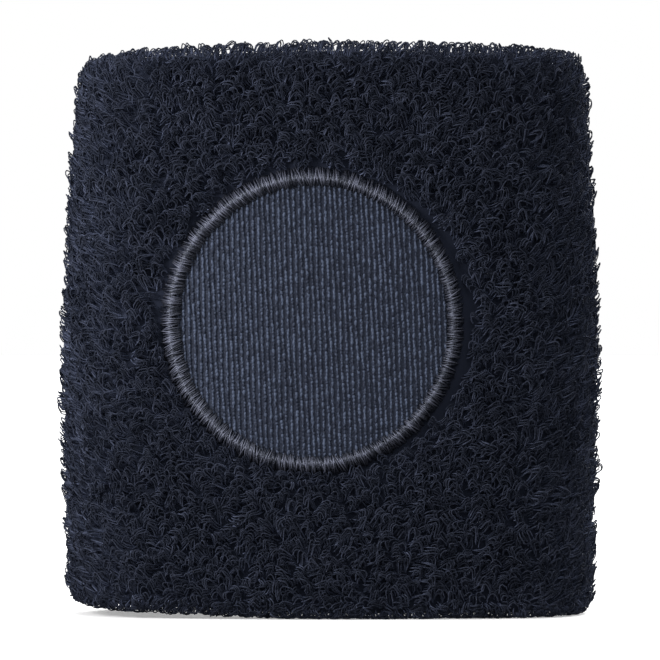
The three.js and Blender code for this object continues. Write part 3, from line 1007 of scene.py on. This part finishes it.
def stitch_tree():
    """Arches one stitch of thread over each point, from the patch to the terry."""
    tree, given = start_tree("satin_stitches", {
        "Thread diameter": BORDER_THREAD, "Outer slope": OUTER_SLOPE, "Inner drop": INNER_DROP,
        "Outer drop": OUTER_DROP, "Slant": STITCH_SLANT, "Seed": 1, "Material": None})
    sewn = strands(tree, given["Geometry"], STITCH_POINTS)
    chance = chances(tree, given["Seed"], attribute(tree, "loop_number", "INT"))

    # swing runs from -1 at the inner end of the stitch to 1 at the outer end.
    way = attribute(tree, "yarn_way")
    swing = maths(tree, "SINE", maths(tree, "MULTIPLY_ADD", way, math.pi, -math.pi / 2))
    side = maths(tree, "GREATER_THAN", swing, 0.0)
    slope = add(tree, "ShaderNodeMapRange", side, 0.0, 1.0, attribute(tree, "inner"), given["Outer slope"])
    half = product(tree, slope, chance(0.9, 1.1, 1))
    outward = maths(tree, "ADD", product(tree, swing, half), chance(-0.13 * MM, 0.13 * MM, 2))
    crest = maths(tree, "SUBTRACT", 1.0, maths(tree, "POWER", maths(tree, "ABSOLUTE", swing), 1.35))
    drop = add(tree, "ShaderNodeMapRange", side, 0.0, 1.0, given["Inner drop"], given["Outer drop"])
    low = product(tree, maths(tree, "SUBTRACT", crest, 1.0), drop)
    low = maths(tree, "ADD", low, chance(-0.12 * MM, 0.08 * MM, 3))
    slant = maths(tree, "TANGENT", maths(tree, "ADD", given["Slant"], chance(-0.3, 0.3, 4)))
    place_at = plus(tree, direction(tree, "foot"), times(tree, direction(tree, "away"), outward),
                    times(tree, direction(tree, "out"), low),
                    times(tree, direction(tree, "around"), product(tree, outward, slant)))
    sewn = add(tree, "GeometryNodeSetPosition", sewn, None, place_at)
    sewn = stored(tree, sewn, "loop_shade", chance(0.0, 1.0, 5))
    # The crest share is kept for the finish, which paints shade towards both ends of each stitch.
    sewn = stored(tree, sewn, "loop_rise", crest)
    body = thickened(tree, sewn, STITCH_SIDES, given["Thread diameter"])
    return end_tree(tree, body, given["Material"])


def border_material():
    """Bright trilobal polyester: satin, each stitch catching the light a little differently, with painted
    shade that darkens both ends of each stitch.
    """
    material, tree, shader = new_material("border_thread", 0.40)
    colour = speckled(tree, YARN_SPECKLE, 1.0, 0.6, 0.50, 1.1, 1.0, BORDER_DARK, BORDER_LIGHT)
    # Painted shade: the colour falls to a tenth towards both ends of each stitch.
    tree.links.new(painted_shading_by_rise(tree, colour, 0.10, 1.0), shader.inputs["Base Color"])
    shader.inputs["Specular IOR Level"].default_value = 0.6
    shader.inputs["Specular Tint"].default_value = (0.80, 0.87, 1.0, 1)
    return material


border_finish = border_material()
border_crest = patch_radius - CREST_INSET
stitch_count = round(2 * math.pi * border_crest / STITCH_PITCH)
stitch_numbers = np.arange(stitch_count) + chance_of.uniform(-0.18, 0.18, stitch_count)
stitch_turn = stitch_numbers * 2 * math.pi / stitch_count
stitch_points, stitch_out, stitch_along = on_patch(border_crest * np.cos(stitch_turn),
                                                   border_crest * np.sin(stitch_turn), CREST_DEPTH)
inner_slope = INNER_SLOPE - INNER_SLOPE_CHANGE * np.cos(stitch_turn)
away = stitch_along * np.cos(stitch_turn)[:, None] + UPRIGHT * np.sin(stitch_turn)[:, None]
around = UPRIGHT * np.cos(stitch_turn)[:, None] - stitch_along * np.sin(stitch_turn)[:, None]
stitch_feet = {"foot": stitch_points, "out": stitch_out, "away": away, "around": around,
               "inner": inner_slope}
border_mesh = grown("satin_border", stitch_tree(), stitch_feet, {
    "Thread diameter": BORDER_THREAD, "Outer slope": OUTER_SLOPE, "Inner drop": INNER_DROP,
    "Outer drop": OUTER_DROP, "Slant": STITCH_SLANT, "Seed": 11, "Material": border_finish})
unroll(border_mesh, STITCH_POINTS, STITCH_SIDES)
border = place("satin_border", border_mesh, border_finish)
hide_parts("satin_border_thread")
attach(border, "front_half")


# ---- Backing of the patch ------------
# What the patch and its stitching hide: padding stitches under the border, a non-woven stiffener
# behind the cloth, and the bobbin thread and stabiliser on the wrong side of the outer layer.


def felt_material(name, dark, light):
    """Pressed fibres, lying every way."""
    material, tree, shader = new_material(name, 0.95)
    spot = add(tree, "ShaderNodeTexCoord").outputs["Object"]
    fibre = add(tree, "ShaderNodeTexNoise", spot, 2400, 5.0, 0.7)
    amount = add(tree, "ShaderNodeMapRange", fibre, 0.35, 0.65, 0.0, 1.0)
    tree.links.new(between(tree, amount.outputs[0], dark, light), shader.inputs["Base Color"])
    return material


def refinish(node, material):
    """Gives a node that stays as it is its real finish."""
    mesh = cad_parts[node].data
    mesh.materials.clear()
    mesh.materials.append(material)


PADDING_THREAD = 0.34 * MM
PADDING_POINTS = 300
PADDING_ACROSS = (-0.10 * MM, 0.14 * MM, 0.38 * MM)
PADDING_DEPTHS = (1.0 * MM, 0.85 * MM, 1.05 * MM)
STIFFENER_THICKNESS = 0.33 * MM
STIFFENER_GAP = 0.05 * MM
STIFFENER_INSET = 0.9 * MM

padding_finish = thread_material("padding_thread", (0.008, 0.010, 0.016, 1), (0.026, 0.030, 0.044, 1),
                                 twist=3000, roughness=0.7)
padding_turn = 2 * math.pi * np.arange(PADDING_POINTS) / PADDING_POINTS
padding_step = np.arange(PADDING_POINTS)
padding_feet, padding_out, padding_edges = [], [], []
for across, depth in zip(PADDING_ACROSS, PADDING_DEPTHS):
    radius = border_crest + across
    spots, facing, _ = on_patch(radius * np.cos(padding_turn), radius * np.sin(padding_turn), depth)
    first = len(padding_feet) * PADDING_POINTS
    padding_edges.append(first + np.stack([padding_step, (padding_step + 1) % PADDING_POINTS], -1))
    padding_feet.append(spots)
    padding_out.append(facing)
padding_rings = {"foot": np.concatenate(padding_feet), "out": np.concatenate(padding_out),
                 "way": np.tile(padding_step / PADDING_POINTS, len(PADDING_DEPTHS))}
padding_mesh = grown("border_padding", running_thread, padding_rings, {
    "Thread diameter": PADDING_THREAD, "Thread sides": 5, "Waves": 90.0, "Swing up": 0.02 * MM,
    "Swing out": 0.05 * MM, "Material": padding_finish}, np.concatenate(padding_edges).tolist())
padding = place("border_padding", padding_mesh, padding_finish)
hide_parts("border_padding_thread")
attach(padding, "front_half")
refinish("border_bobbin_thread", padding_finish)

stiffener_finish = felt_material("stiffener_felt", (0.018, 0.019, 0.023, 1), (0.052, 0.054, 0.062, 1))
stiffener_top = FACE_DEPTH + FACE_THICKNESS + STIFFENER_GAP
stiffener_radius = face_radius_flat - STIFFENER_INSET
stiffener_mesh = disc_mesh("stiffener", stiffener_radius, stiffener_top, STIFFENER_THICKNESS)
stiffener = place("stiffener", stiffener_mesh, stiffener_finish)
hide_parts("patch_stiffener")
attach(stiffener, "front_half")
stabiliser_finish = felt_material("stabiliser_felt", (0.020, 0.021, 0.025, 1), (0.060, 0.062, 0.070, 1))
refinish("embroidery_stabiliser", stabiliser_finish)
